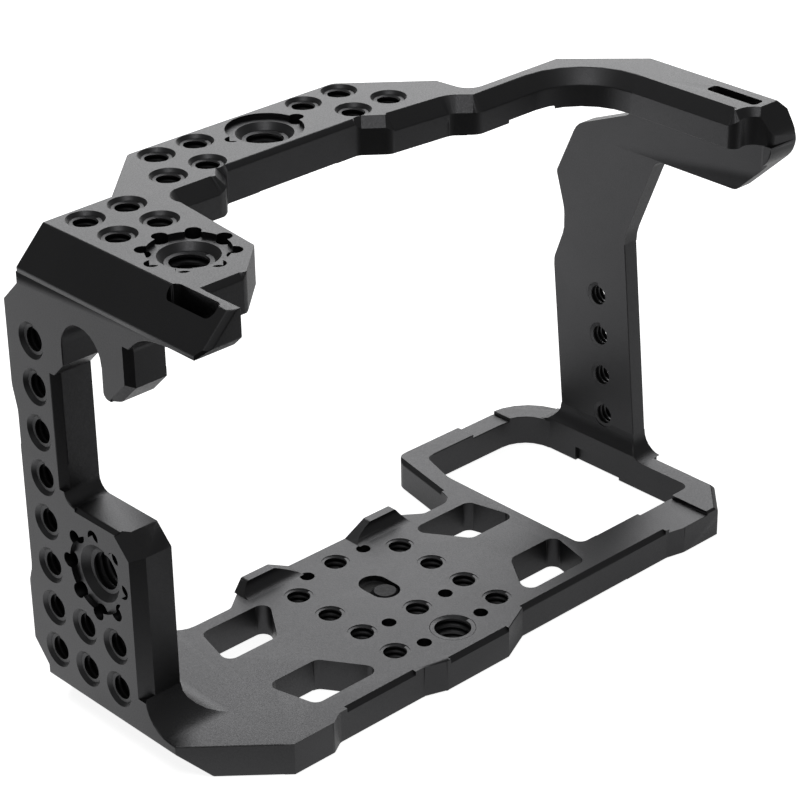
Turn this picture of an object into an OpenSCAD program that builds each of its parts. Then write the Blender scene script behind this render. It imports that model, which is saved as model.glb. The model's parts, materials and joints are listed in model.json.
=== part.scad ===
// Camera cage: an open frame that closes round a camera body.
// +X is the grip side, +Y is the lens side, +Z is up. The origin lies on the
// axis of the large tripod thread near the rear edge, at the base underside.
// The real frame is milled from one billet. Here it is cut across into its
// members, which meet face to face, and the camera screw rides in the base.

/* [Envelope] */
// From the tripod thread's axis to the outer face of the left side plate
left_x = 68.6; // [66:0.1:72]
// From the tripod thread's axis to the outer face of the grip post
right_x = 85.8; // [83:0.1:90]
// Clear height between the base and the top deck
clear_h = 89; // [85:0.1:95]
// Thickness of the members of the top deck
deck_t = 8; // [7:0.1:9]
// Thickness of the base plate
base_t = 7.2; // [7:0.1:9]
// Thickness of the left side plate
side_t = 8.8; // [8:0.1:10]
// Thickness of the grip post and its arm
post_t = 4; // [3:0.1:5]

/* [Threaded holes] */
// Radius of the small thread, a quarter inch across
small_r = 3.175; // [3:0.005:3.3]
// Radius of the large thread, three eighths of an inch across
large_r = 4.7625; // [4.6:0.0005:4.9]
// Distance from hole to hole in every row
pitch = 10; // [9:0.1:11]
// Radius of the countersink of a small thread
small_sink_r = 3.9; // [3.6:0.1:4.2]
// Radius of the countersink of a large thread
large_sink_r = 6.1; // [5.8:0.1:6.3]
// Radius of the round recess about a large thread on the deck and side
recess_r = 8.2; // [8:0.1:8.4]
// Depth of that recess
recess_d = 1.05; // [0.8:0.05:1.6]
// Radius of the circle on which the locating pin holes lie
pin_ring_r = 8.55; // [8.4:0.05:8.7]
// Radius of a locating pin hole
pin_r = 1.6; // [1.4:0.05:1.7]

/* [Base] */
// Front edge of the base between the lens lips, from the tripod thread
base_front = 42.6; // [41:0.1:44]
// Front edge of the base beside the lens lips
base_wing_front = 38.2; // [37.5:0.1:39]
// Front edge of the base under the left side plate
foot_front = 48; // [47:0.1:50]
// Rear edge of the base behind the tripod thread
base_rear = 8.4; // [8:0.1:10]
// Rear edge of the base left of the middle
rear_left = 6.6; // [6:0.1:7]
// Rear edge of the base right of the middle
rear_right = 4.9; // [4:0.1:5.5]
// Width of the bevel along the straight runs of the base
base_bevel = 1; // [0.5:0.1:1.4]
// From the middle line to the outer corners of the weight windows
window_out = 42; // [41:0.1:43]
// From the middle line to the inner corners of the weight windows
window_in = 20.3; // [19.5:0.1:21]
// Size of a weight window from front to rear
window_w = 12.1; // [10:0.1:12.5]
// Middle line of the pattern of weight windows, from the tripod thread
window_mid = 17; // [16.6:0.1:17.4]
// Solid web between the front and the rear weight windows
window_web = 12; // [11:0.1:13]
// From the middle line to each column of small threads in the base
base_col_x = 14.8; // [14:0.1:15.4]
// First row of small threads in the base, from the tripod thread
base_row_y = 1.8; // [1:0.1:2.4]
// Front single thread in the base, from the tripod thread
single_front = 36.5; // [36:0.1:37]
// Rear single thread in the base, from the tripod thread
single_rear = 10.7; // [10.4:0.1:10.8]
// From the middle line to each column of locating holes in the base
base_pin_x = 8.2; // [7.8:0.1:8.4]
// Radius of the locating holes in the base
base_pin_r = 1.6; // [1.4:0.1:1.7]
// Height of the lens lips above the base
lip_h = 2.9; // [2:0.1:4]
// Thickness of a lens lip at its top
lip_t = 2.1; // [1.5:0.1:2.5]

/* [Camera screw] */
// Centre of the screw slot, from the tripod thread
slot_y = 22.5; // [22.4:0.1:22.7]
// Width of the screw slot
slot_w = 6.6; // [6.6:0.05:7]
// Length of the screw slot
slot_l = 10.1; // [9.5:0.1:10.3]
// Thickness of the web that is left above the screw pocket
pocket_web = 1.3; // [1.2:0.1:1.5]
// Radius of the retaining ring
ring_r = 6; // [5.8:0.05:6.1]
// Thickness of the retaining ring
ring_t = 0.5; // [0.4:0.05:0.6]
// Radius of the screw's head
head_r = 5.2; // [4.8:0.1:5.4]
// Thickness of the screw's head
head_t = 1.2; // [1.1:0.1:1.4]
// Thickness of the washer on the screw's head
washer_t = 0.3; // [0.2:0.05:0.4]
// Height of the screw's head above the underside at rest
head_lift = 0.1; // [0.05:0.05:0.2]
// Depth of the screw's tip below the top of the base at rest
tip_drop = 0.1; // [0:0.05:0.4]
// Gap between pieces that slide on each other
play = 0.05; // [0.04:0.01:0.08]
// Width across the flats of the hexagon socket in the screw
socket_flats = 3.97; // [3.9:0.01:4.1]

/* [Battery frame] */
// Left outer side of the battery frame near its front, from the tripod thread
bay_out = 40.8; // [40.2:0.1:41.2]
// Thickness of the battery frame's inner bar near its front
inner_bar_t = 2.8; // [2.4:0.1:3.4]
// Rear wall of the battery opening
bay_rear = 4.6; // [4:0.1:5]
// Front wall of the battery opening
bay_front = 56.5; // [55:0.1:57.5]
// Front face of the battery frame
frame_front = 61.8; // [61:0.1:63]
// Rear face of the battery frame
frame_rear = 6; // [5.5:0.1:6.5]
// Thickness of the outer bar of the battery frame
outer_bar_t = 6.2; // [6:0.1:6.8]
// Radius of the front inner corner of the battery opening
bay_corner_r = 8; // [6:0.1:9]
// Radius of the front outer corner of the battery frame
frame_corner_r = 13; // [12:0.1:14]
// Bevel along the outer top edge of the battery frame
frame_bevel = 2.2; // [1.5:0.1:2.6]
// Left side of the shallow channel across the frame
channel_x = 62; // [60:0.1:64]
// Width of the shallow channel across the frame
channel_w = 11.8; // [10:0.1:13]
// Depth of the shallow channel across the frame
channel_d = 0.8; // [0.5:0.1:1]

/* [Left side plate] */
// Front column of threads on the side plate, from the tripod thread
side_col_y = 44.2; // [43.8:0.1:44.6]
// Large thread on the side plate, from the tripod thread
side_large_y = 29.1; // [28.8:0.1:29.4]
// Front face of the side plate
side_front = 52.2; // [51.5:0.1:53]
// Rear face of the side plate
side_rear = 15.6; // [15:0.1:16]
// Rear wall of the port opening's front column
port_front = 37.4; // [37:0.1:37.8]
// Bevel on the outer edge of the port opening
port_bevel = 1.5; // [1:0.1:1.8]
// Bevel on the outer rear edge of the side plate
side_bevel = 2.4; // [1.8:0.1:2.8]
// Radius of the fillets between the side plate and the base
foot_r = 7; // [6:0.1:7.5]
// Front wall of the cable slot
cable_front = 34.2; // [33.8:0.1:34.6]
// Rear wall of the cable slot
cable_rear = 22; // [21.6:0.1:22.4]
// Rear face of the cable hook
hook_rear = 13.7; // [13:0.1:14]

/* [Top deck] */
// Inner face of the left rail, from the tripod thread
rail_in = 59.1; // [58.8:0.1:59.4]
// Rear end of the left rail, behind the tripod thread
rail_rear = 8; // [7:0.1:9]
// Wall between the strap slot in the left rail and the rail's inner face
rail_wall = 1.35; // [1.2:0.05:1.5]
// Middle of that slot, from the tripod thread
rail_slot_y = 1.8; // [1.5:0.1:2]
// Width of the long chamfer on the left rail
rail_chamfer = 7; // [6:0.1:7.1]
// Front edge of the left deck
deck_front = 47.4; // [47:0.1:48]
// Rear edge of the left deck
deck_rear = 2.4; // [2:0.1:3]
// Left column of the four threads on the left deck
quad_x = 55; // [54.6:0.1:55.2]
// Front row of the four threads on the left deck
quad_y = 42.5; // [42:0.1:42.8]
// Large thread on the left deck, left of the tripod thread
deck_large_x = 50.05; // [49.8:0.05:50.3]
// Large thread on the left deck, in front of the tripod thread
deck_large_y = 17.7; // [17.5:0.1:18]
// Front face of the front bar
bar_front = 62; // [61.8:0.1:63]
// Front row of threads on the front bar
bar_row_y = 57.7; // [57.4:0.1:57.8]
// First thread of the left group on the front bar
left_group_x = 25.7; // [25.5:0.1:25.8]
// First thread of the right group on the front bar
right_group_x = 13.45; // [13.4:0.05:13.6]
// Large thread on the front bar, left of the tripod thread
bar_large_x = 1.2; // [1:0.1:1.4]
// Large thread on the front bar, in front of the tripod thread
bar_large_y = 53.05; // [52.9:0.05:53.3]
// Rear wall of the middle of the front bar
bar_rear = 42.9; // [42.6:0.1:43]
// Rear wall of the front bar beside its middle
bar_wing_rear = 38.5; // [38.2:0.1:38.8]
// Rear wall of the bar over the battery frame
bridge_rear = 33; // [32.6:0.1:33.4]
// Front face of the bar over the battery frame
bridge_front = 38.4; // [38:0.1:39]
// Width of the wide bevels of the deck
wide_bevel = 3; // [2.6:0.1:3.1]
// Width of the narrow bevels of the deck
narrow_bevel = 1; // [0.8:0.1:1.2]

/* [Grip side] */
// Inner face of the bar over the grip, from the tripod thread
grip_in = 71.5; // [71:0.1:72]
// Rear face of the bar over the grip, behind the tripod thread
grip_rear = 15.2; // [15:0.1:16]
// Bevel on the outer top edge of the grip bar
grip_bevel = 2; // [1.5:0.1:2.4]
// Length of the slope at the rear end of the grip bar
grip_end_run = 3.8; // [3:0.1:4.4]
// Height of the slope at the rear end of the grip bar
grip_end_drop = 6.2; // [5.6:0.1:6.6]
// Straight height of the grip arm's rear end, under the grip bar
arm_end_h = 2.6; // [2.2:0.1:3]
// Wall outside the strap slot in the grip bar
strap_wall = 4.4; // [4:0.1:4.6]
// Width of both strap slots
strap_w = 3.3; // [3:0.1:3.5]
// Length of both strap slots
strap_l = 13.2; // [12:0.1:13.6]
// Rear end of the strap slot in the grip bar, behind the tripod thread
strap_rear = 9.8; // [9.5:0.1:10]
// Rear edge of the grip post at its foot
post_rear = 24; // [23.5:0.1:24.5]
// Width of the grip post from front to rear
post_w = 22.9; // [22:0.1:23.5]
// How far the post leans towards the lens up to its neck
post_lean = 4.2; // [3.8:0.1:4.4]
// Lowest thread in the grip post, from the tripod thread
post_col_y = 33.3; // [33:0.1:33.6]
// Radius of the fillets at the foot of the post
post_foot_r = 5; // [4.5:0.1:5.2]

/* [Hidden] */
$fn = 64;
// Turn of one facet of a rounded corner, in degrees
arc_step = 15;
// Overrun of every cut
over = 1;
black = [0.1, 0.1, 0.105];
nylon = [0.08, 0.08, 0.08];
steel = [0.09, 0.09, 0.092];
deck_low = base_t + clear_h;
deck_top = deck_low + deck_t;
// The rows on the side plate and the post divide the clear height, so that
// their threads, the ports' ledge and the cable hook keep their places in it
row_step = clear_h / 8.9;
side_row_z = base_t + row_step * 0.54;
side_large_z = base_t + row_step * 2.95;
ledge_z = base_t + row_step * 4.24;
hook_low = base_t + row_step * 7.13;
cable_z = base_t + row_step * 7.78;
arm_low = base_t + row_step * 7.48;
post_row_z = base_t + row_step * 0.69;
strap_x = right_x - strap_wall - strap_w;
rail_slot_x = rail_in + rail_wall + strap_w / 2;
side_in = left_x - side_t;
post_in = right_x - post_t;
bay_right = right_x - outer_bar_t;
bay_left = bay_out + inner_bar_t;
ring_top = base_t - pocket_web - play;
web_low = base_t - pocket_web;
screw_travel = ring_top - ring_t - play - washer_t - head_t - head_lift;
slot_throw = slot_l - slot_w;
pocket_w = 2 * (ring_r + play);
screw_y = slot_y - slot_throw / 2;
// The front bar is cut halfway between its locating holes and the next threads
pin_reach = pin_ring_r + pin_r;
mid_cut_left = -(left_group_x - pitch - small_sink_r + bar_large_x + pin_reach) / 2;
mid_cut_right = (right_group_x - small_sink_r - bar_large_x + pin_reach) / 2;

// Plan geometry

function unit(v) = v / norm(v);
function turned(v, a) = [v[0] * cos(a) - v[1] * sin(a), v[0] * sin(a) + v[1] * cos(a)];
function at(p) = [p[0], p[1]];
function item(p, i) = len(p) > i ? p[i] : 0;

// A corner p of a counterclockwise outline, between corners a and b. Each
// corner is [x, y, radius, bevel of the edge that follows]. The result is a
// list of [wall x, wall y, top x, top y, bevel].
function corner(a, p, b) =
    let (r = item(p, 2), before = item(a, 3), after = item(p, 3),
         u = unit(at(p) - at(a)), v = unit(at(b) - at(p)),
         nu = turned(u, 90), nv = turned(v, 90), c = cross(nu, nv),
         turn = atan2(cross(u, v), u * v))
    r == 0
        ? let (q = at(p) + (abs(c) < 0.001 ? nu * before
               : (before * [nv[1], -nv[0]] - after * [nu[1], -nu[0]]) / c))
          [[p[0], p[1], q[0], q[1], max(before, after)]]
        : let (side = turn > 0 ? 1 : -1, n = max(2, ceil(abs(turn) / arc_step)),
               centre = at(p) - u * r * abs(tan(turn / 2)) + nu * r * side)
          [for (k = [0:n])
              let (d = turned(nu, turn * k / n), w = centre - d * r * side,
                   bevel = before + (after - before) * k / n, q = w + d * bevel)
              [w[0], w[1], q[0], q[1], bevel]];
function ring(points) =
    let (n = len(points))
    [for (i = [0:n - 1]) each corner(points[(i + n - 1) % n], points[i], points[(i + 1) % n])];
function wall(points) = [for (v = ring(points)) [v[0], v[1]]];

// A flat member with rounded corners and square edges
module plate(points, low, high)
    translate([0, 0, low]) linear_extrude(high - low) polygon(wall(points));

// An outline of more than three corners is cut into triangles, ear by ear
function clear(p, rest, a, b, c) = len([for (i = rest)
    if (i != a && i != b && i != c && cross(p[b] - p[a], p[i] - p[a]) >= 0
        && cross(p[c] - p[b], p[i] - p[b]) >= 0 && cross(p[a] - p[c], p[i] - p[c]) >= 0) i]) == 0;
function is_ear(p, rest, a, b, c) = cross(p[b] - p[a], p[c] - p[b]) > 0 && clear(p, rest, a, b, c);
function triangles(p, rest) =
    let (n = len(rest))
    n < 4 ? [rest] :
    let (k = [for (k = [0:n - 1])
                  if (is_ear(p, rest, rest[(k + n - 1) % n], rest[k], rest[(k + 1) % n])) k][0])
    concat([[rest[(k + n - 1) % n], rest[k], rest[(k + 1) % n]]],
           triangles(p, [for (i = [0:n - 1]) if (i != k) rest[i]]));

// A flat member whose top edges carry the bevels that its outline states
module bevelled_plate(points, low, high) {
    r = ring(points);
    n = len(r);
    // A top corner is the wall's own corner where there is no bevel
    top = [for (i = [0:n - 1]) r[i][4] > 0 ? 2 * n + i : n + i];
    polyhedron(
        points = concat([for (v = r) [v[0], v[1], low]],
                        [for (v = r) [v[0], v[1], high - v[4]]],
                        [for (v = r) [v[2], v[3], high]]),
        faces = concat(triangles([for (v = r) [v[0], v[1]]], [for (i = [0:n - 1]) i]),
                       [for (i = [0:n - 1]) let (j = (i + 1) % n) [i, n + i, n + j, j]],
                       [for (i = [0:n - 1]) let (j = (i + 1) % n) each concat(
                           r[i][4] > 0 ? [[n + i, top[i], top[j]]] : [],
                           r[j][4] > 0 ? [[n + i, top[j], n + j]] : [])],
                       [for (t = triangles([for (v = r) v[4] > 0 ? [v[2], v[3]] : [v[0], v[1]]],
                                           [for (i = [0:n - 1]) i]))
                           [top[t[2]], top[t[1]], top[t[0]]]]));
}

// An outline in [y, z], carried along x
module side_slab(points, from, to)
    translate([from, 0, 0]) rotate([90, 0, 90])
        linear_extrude(to - from) polygon(wall(points));

// An outline in [x, z], carried along y
module front_slab(points, from, to)
    translate([0, to, 0]) rotate([90, 0, 0])
        linear_extrude(to - from) polygon(wall(points));

// Square bar on edge, which cuts a bevel of width w from a to b in a plan
module plan_bevel(a, b, z, w, more = 0)
    translate([a[0], a[1], z]) rotate([0, 0, atan2(b[1] - a[1], b[0] - a[0])])
        rotate([0, 90, 0]) translate([0, 0, -more])
            linear_extrude(norm(b - a) + 2 * more) rotate(45) square(w * sqrt(2), center = true);

// The same along an edge of a side slab at x, from a to b in [y, z]
module side_edge_bevel(a, b, x, w, more = 0)
    translate([x, 0, 0]) rotate([90, 0, 90]) plan_bevel(a, b, 0, w, more);

// Upright bevel at a corner of a plan
module upright_bevel(p, low, high, w)
    translate([p[0], p[1], low - over]) linear_extrude(high - low + 2 * over)
        rotate(45) square(w * sqrt(2), center = true);

// Threaded holes, drilled at the thread's outer radius

// Hole down through a member from its top at z, with a countersunk mouth
module drop_hole(x, y, z, depth, r, sink_r) {
    translate([x, y, z - depth - over]) cylinder(h = depth + 2 * over, r = r);
    if (sink_r > r)
        translate([x, y, z - (sink_r - r)])
            cylinder(h = sink_r - r + over, r1 = r, r2 = sink_r + over);
}
// The same into the left side plate from its outer face
module side_hole(y, z, depth, r, sink_r) {
    translate([-left_x, y, z]) rotate([0, 90, 0]) rotate([0, 0, 90])
        translate([0, 0, -over]) cylinder(h = depth + 2 * over, r = r);
    if (sink_r > r)
        translate([-left_x, y, z]) rotate([0, 90, 0]) translate([0, 0, -over])
            cylinder(h = sink_r - r + over, r1 = sink_r + over, r2 = r);
}
// Recess and locating holes about a large thread on the deck
module deck_locator(x, y, angles) {
    translate([x, y, deck_top - recess_d]) cylinder(h = recess_d + over, r = recess_r);
    for (a = angles)
        translate([x, y, 0] + pin_ring_r * [cos(a), sin(a), 0])
            translate([0, 0, deck_top - deck_t / 2]) cylinder(h = deck_t / 2 + over, r = pin_r);
}
// Countersunk large thread at the floor of its recess on the deck
module deck_large(x, y, angles) {
    deck_locator(x, y, angles);
    drop_hole(x, y, deck_top - recess_d, deck_t, large_r, large_sink_r);
}
// Small countersunk thread in the deck
module deck_small(x, y) drop_hole(x, y, deck_top, deck_t, small_r, small_sink_r);
// Plain small thread in the base
module base_small(x, y) drop_hole(x, y, base_t, base_t, small_r, small_r);

// Base

// Weight window: a side of 1 stands for the left or the right of the middle
// line, a way of 1 or -1 for the front or the rear of the pattern
module window(side, way) {
    near = window_mid + way * window_web / 2;
    far = near + way * window_w;
    slant = window_w / 4;
    tip = window_in + window_w * 2 / 3;
    corners = [[side * window_in, far, lip_t], [side * tip, near, lip_t],
               [side * window_out, near, lip_t], [side * (window_out - slant), far, lip_t]];
    turned_over = side * way > 0;
    plate(turned_over ? corners : [for (i = [3:-1:0]) corners[i]], -over, base_t + over);
}

// Where the base meets the foot of the side plate, and its corner cut
foot_in = side_in - foot_r;
corner_rear_y = foot_r;
corner_x = foot_in - narrow_bevel * 1.5;
corner_slope = (corner_rear_y + base_rear) / (left_x - corner_x);
foot_cut_y = corner_slope * (foot_in - corner_x) - base_rear;
wing_in = foot_in - side_t;
joint_x = bay_left + post_foot_r;
joint_front = bay_front - foot_r * 2;
bay_joint = bay_out - wide_bevel;
lip_x = base_col_x + wide_bevel;
lip_half = lip_h * 1.3;
lip_ramp = lip_h * 2;

module base_outline(low, high)
    plate([
        [-foot_in, foot_cut_y], [-corner_x, -base_rear], [-bay_out, -base_rear, lip_t],
        [-bay_out + wide_bevel, -rear_left, lip_t], [-base_col_x, -rear_left, lip_t],
        [-base_col_x + small_r * 1.6, -base_rear, lip_t], [recess_r, -base_rear],
        [base_col_x + narrow_bevel, -rear_right], [joint_x, -rear_right],
        [joint_x, bay_rear], [bay_left, bay_rear, lip_t], [bay_left, joint_front],
        [bay_joint, joint_front],
        [bay_joint - narrow_bevel * 0.9, base_wing_front, post_t - narrow_bevel / 2],
        [lip_x + large_r * 2.2, base_wing_front, lip_t],
        [lip_x + large_r, base_front, lip_t],
        [-lip_x - large_r, base_front, lip_t],
        [-lip_x - large_r * 2.2, base_wing_front, lip_t],
        [-wing_in, base_wing_front, foot_r - narrow_bevel], [-wing_in, foot_front, lip_t],
        [-foot_in, foot_front]], low, high);

// A slot with round ends, of width w and length l along y
module slot_plan(x, y, w, l, low, high)
    translate([x, y, low]) linear_extrude(high - low) union() {
        for (s = [-1, 1]) translate([0, s * (l - w) / 2]) circle(d = w);
        square([w, l - w], center = true);
    }

module base_plate() color(black) difference() {
    base_outline(0, base_t);
    for (side = [-1, 1], way = [-1, 1]) window(side, way);
    for (x = [-base_col_x, base_col_x], k = [0:3]) base_small(x, base_row_y + k * pitch);
    for (y = [single_front, single_rear]) base_small(0, y);
    drop_hole(0, 0, base_t, base_t, large_r, large_r);
    for (x = [-base_pin_x, base_pin_x], y = [single_front, single_rear, 0])
        drop_hole(x, y, base_t, base_t, base_pin_r, base_pin_r);
    slot_plan(0, slot_y, slot_w, slot_l, -over, base_t + over);
    slot_plan(0, slot_y, pocket_w, pocket_w + slot_throw, -over, web_low);
    plan_bevel([-bay_out + wide_bevel + lip_t, -rear_left],
               [-base_col_x - lip_t, -rear_left], base_t, base_bevel);
    plan_bevel([-base_col_x + small_r * 1.6 + lip_t / 2, -base_rear], [recess_r, -base_rear],
               base_t, base_bevel);
    plan_bevel([base_col_x + narrow_bevel, -rear_right], [joint_x + over, -rear_right],
               base_t, base_bevel);
}

// A raised lip beside the lens, hollow towards the camera
module lens_lip(side) color(black) {
    top = base_t + lip_h;
    low_half = lip_half + lip_ramp;
    rear = base_front - lip_t - lip_h;
    mirrored = side < 0 ? [1, 0, 0] : [0, 0, 0];
    mirror(mirrored) intersection() {
        side_slab([[rear, base_t], [base_front, base_t], [base_front, top],
                   [base_front - lip_t, top], [base_front - lip_t, base_t + play, lip_h * 0.95]],
                  lip_x - low_half, lip_x + low_half);
        front_slab([[lip_x - low_half, base_t], [lip_x + lip_half + lip_t, base_t],
                    [lip_x + lip_half, top, narrow_bevel], [lip_x - lip_half, top, narrow_bevel]],
                   rear, base_front);
    }
}
module left_lens_lip() lens_lip(-1);
module right_lens_lip() lens_lip(1);

// The foot of the side plate, with a fillet towards the camera and one behind
foot_top = base_t + foot_r;
foot_arc = foot_r * 0.99;
module foot_fillets() intersection() {
    front_slab([[-left_x, base_t / 2], [-foot_in, base_t / 2], [-foot_in, base_t],
                [-side_in, base_t, foot_arc], [-side_in, foot_top], [-left_x, foot_top]],
               0, foot_front);
    side_slab([[side_rear - foot_r, base_t / 2], [foot_front, base_t / 2],
               [foot_front, foot_top], [side_rear, foot_top], [side_rear, base_t, foot_arc],
               [side_rear - foot_r, base_t]], -left_x, -foot_in);
}
module left_foot() color(black) difference() {
    union() {
        plate([[-left_x, corner_rear_y], [-foot_in, foot_cut_y], [-foot_in, foot_front],
               [-left_x, foot_front]], 0, base_t);
        foot_fillets();
    }
    plan_bevel([-left_x, -base_rear], [-left_x, foot_front], 0, foot_r * 0.77, over);
    translate([-left_x - over, side_rear, base_t]) cube([side_t + over, foot_front, foot_r + over]);
    for (k = [0:2]) side_hole(side_col_y - k * pitch, side_row_z, side_t + foot_r, small_r, small_r);
}

// Left side plate

waist = narrow_bevel * 1.3;
ledge_cut = side_bevel * 1.7;
column_cut_z = side_row_z + 4.5 * row_step;
upper_cut_z = side_row_z + 6.5 * row_step;
chin = (side_front - foot_front) * 1.15;
belly_z = side_row_z + 1.35 * row_step;
brow_z = side_row_z + 5.25 * row_step;

module side_lower_body() side_slab([
    [side_rear, base_t], [foot_front, base_t], [side_front, base_t + chin],
    [side_front, belly_z, foot_r], [side_front - waist, belly_z + 2 * waist, foot_r],
    [side_front - waist, column_cut_z], [port_front, column_cut_z],
    [port_front, ledge_z, wide_bevel], [side_rear + ledge_cut, ledge_z],
    [side_rear, ledge_z - ledge_cut]], -left_x, -side_in);

module left_side_lower() color(black) difference() {
    side_lower_body();
    side_edge_bevel([side_rear, base_t + foot_r], [side_rear, ledge_z - ledge_cut],
                    -left_x, side_bevel, over);
    side_edge_bevel([side_rear, ledge_z - ledge_cut], [side_rear + ledge_cut, ledge_z],
                    -left_x, side_bevel, over);
    side_edge_bevel([side_rear + ledge_cut, ledge_z], [port_front - wide_bevel, ledge_z],
                    -left_x, port_bevel / 2);
    side_edge_bevel([port_front, ledge_z + wide_bevel], [port_front, column_cut_z],
                    -left_x, port_bevel, over / 2);
    for (k = [0:4]) side_hole(side_col_y, side_row_z + k * row_step, side_t, small_r, small_sink_r);
    for (j = [1:2], k = [0:1])
        side_hole(side_col_y - j * pitch, side_row_z + k * row_step, side_t, small_r, small_sink_r);
    side_hole(side_large_y, side_large_z, side_t + recess_d, large_r, large_r);
    translate([recess_d, 0, 0])
        side_hole(side_large_y, side_large_z, side_t, large_r, large_sink_r);
    translate([-left_x, side_large_y, side_large_z]) rotate([0, 90, 0]) translate([0, 0, -over]) {
        cylinder(h = recess_d + over, r = recess_r);
        for (k = [0:7]) rotate(45 * k) translate([pin_ring_r, 0, 0])
            cylinder(h = side_t / 2 + over, r = pin_r);
    }
}

module left_side_column() color(black) difference() {
    side_slab([[port_front, column_cut_z], [side_front - waist, column_cut_z],
               [side_front - waist, brow_z, foot_r], [side_front, brow_z + 4 * waist, foot_r],
               [side_front, upper_cut_z], [port_front, upper_cut_z]], -left_x, -side_in);
    side_edge_bevel([port_front, column_cut_z], [port_front, upper_cut_z],
                    -left_x, port_bevel, over);
    for (k = [5:6]) side_hole(side_col_y, side_row_z + k * row_step, side_t, small_r, small_sink_r);
}

// Between the slot and the rail, with a fillet behind the cable hook
cable_r = (cable_front - cable_rear) / 2;
cable_top = cable_z + cable_r;
cable_arc = cable_r * 0.99;
forehead = side_front - deck_front;
module left_side_upper() color(black) difference() {
    side_slab([[port_front, upper_cut_z], [side_front, upper_cut_z],
               [side_front, deck_low - forehead - narrow_bevel * 2.5],
               [deck_front, deck_low - narrow_bevel * 2.5], [deck_front, deck_low],
               [deck_rear, deck_low], [hook_rear - post_t, deck_low - narrow_bevel, pitch],
               [hook_rear, deck_low - post_foot_r, lip_t], [hook_rear, cable_z],
               [cable_rear, cable_z], [cable_rear, cable_top, cable_arc],
               [cable_front, cable_top, cable_arc],
               [cable_front, upper_cut_z + port_front - cable_front]], -left_x, -side_in);
    side_edge_bevel([hook_rear, cable_z], [hook_rear, deck_low - post_foot_r],
                    -left_x, port_bevel, over / 2);
    side_hole(side_col_y, side_row_z + 7 * row_step, side_t, small_r, small_sink_r);
}

// A hook that keeps a cable's plug from being pulled out of the camera
module cable_hook() color(black) difference() {
    heel = hook_rear + (cable_z - hook_low) * 0.7;
    side_slab([[hook_rear, cable_z], [hook_rear, hook_low + heel - hook_rear],
               [heel, hook_low, narrow_bevel], [cable_rear, hook_low, port_bevel],
               [cable_rear, cable_z]], -left_x, -side_in);
    side_edge_bevel([hook_rear, hook_low + heel - hook_rear], [hook_rear, cable_z],
                    -left_x, port_bevel, over / 2);
    side_edge_bevel([hook_rear, hook_low + heel - hook_rear], [heel, hook_low],
                    -left_x, port_bevel, over);
}

// Top deck

// Rear end of the left rail, cut back on its outer and lower edges
rail_stop = deck_rear - narrow_bevel / 2;
module rail_cuts() {
    plan_bevel([-left_x, -rail_rear], [-left_x, deck_front], deck_top, rail_chamfer, over);
    slot_plan(-rail_slot_x, rail_slot_y, strap_w, strap_l, deck_low - over, deck_top + over);
}
module rail_tail() color(black) difference() {
    translate([-left_x, -rail_rear, deck_low])
        cube([left_x - rail_in, rail_rear + rail_stop, deck_t]);
    rail_cuts();
    upright_bevel([-left_x, -rail_rear], deck_low, deck_top, frame_bevel);
    plan_bevel([-left_x, -rail_rear], [-rail_in, -rail_rear], deck_low, frame_bevel, over);
    translate([-left_x, -rail_rear, deck_top - rail_chamfer]) rotate([0, -45, 0])
        rotate([0, 90, 0]) translate([0, 0, -deck_t]) linear_extrude(3 * deck_t)
            rotate(45) square(narrow_bevel * sqrt(2), center = true);
}

// The cut between the left deck and the front bar runs slantwise
slant_cut = rail_chamfer;
pad_side = rail_in - 2 * pitch + narrow_bevel;
pad_rear = deck_rear + recess_r;
slant_rear_x = slant_cut - bar_wing_rear;
shoulder_x = left_group_x + post_t;
shoulder_run = (bar_front - deck_front) / (quad_x - pitch - shoulder_x);
slant_front_x = (slant_cut - deck_front - shoulder_run * (quad_x - pitch)) / (1 + shoulder_run);
slant_front_y = slant_cut - slant_front_x;

module top_left_deck() color(black) difference() {
    bevelled_plate([
        [-left_x, rail_stop], [-rail_in, rail_stop],
        [-rail_in, deck_rear, 0, frame_bevel / 2],
        [-rail_in + pitch, deck_rear, lip_t, 0],
        [-pad_side, pad_rear, lip_t / 2],
        [slant_rear_x - post_foot_r - narrow_bevel / 2, bar_wing_rear, wide_bevel, wide_bevel],
        [slant_rear_x, bar_wing_rear], [slant_front_x, slant_front_y],
        [-quad_x + pitch, deck_front], [-left_x, deck_front - play * 8]], deck_low, deck_top);
    rail_cuts();
    for (i = [0:1], j = [0:1]) deck_small(-quad_x + i * pitch, quad_y - j * pitch);
    deck_large(-deck_large_x, deck_large_y, [0:45:315]);
}

module front_bar_left() color(black) difference() {
    bevelled_plate([
        [slant_rear_x, bar_wing_rear, 0, wide_bevel],
        [-left_group_x + lip_t, bar_wing_rear, wide_bevel * 1.1, lip_t],
        [-left_group_x + large_r + narrow_bevel, bar_rear, narrow_bevel, narrow_bevel],
        [mid_cut_left, bar_rear], [mid_cut_left, bar_front],
        [-shoulder_x, bar_front, lip_t], [slant_front_x, slant_front_y]], deck_low, deck_top);
    for (j = [0:1], i = [0:1])
        deck_small(-left_group_x + i * pitch - j * pitch / 2, bar_row_y - j * pitch);
}

module front_bar_middle() color(black) difference() {
    bevelled_plate([
        [mid_cut_left, bar_rear, 0, narrow_bevel], [mid_cut_right, bar_rear],
        [mid_cut_right, bar_front], [mid_cut_left, bar_front]], deck_low, deck_top);
    deck_large(-bar_large_x, bar_large_y, [0, 180]);
}

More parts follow.
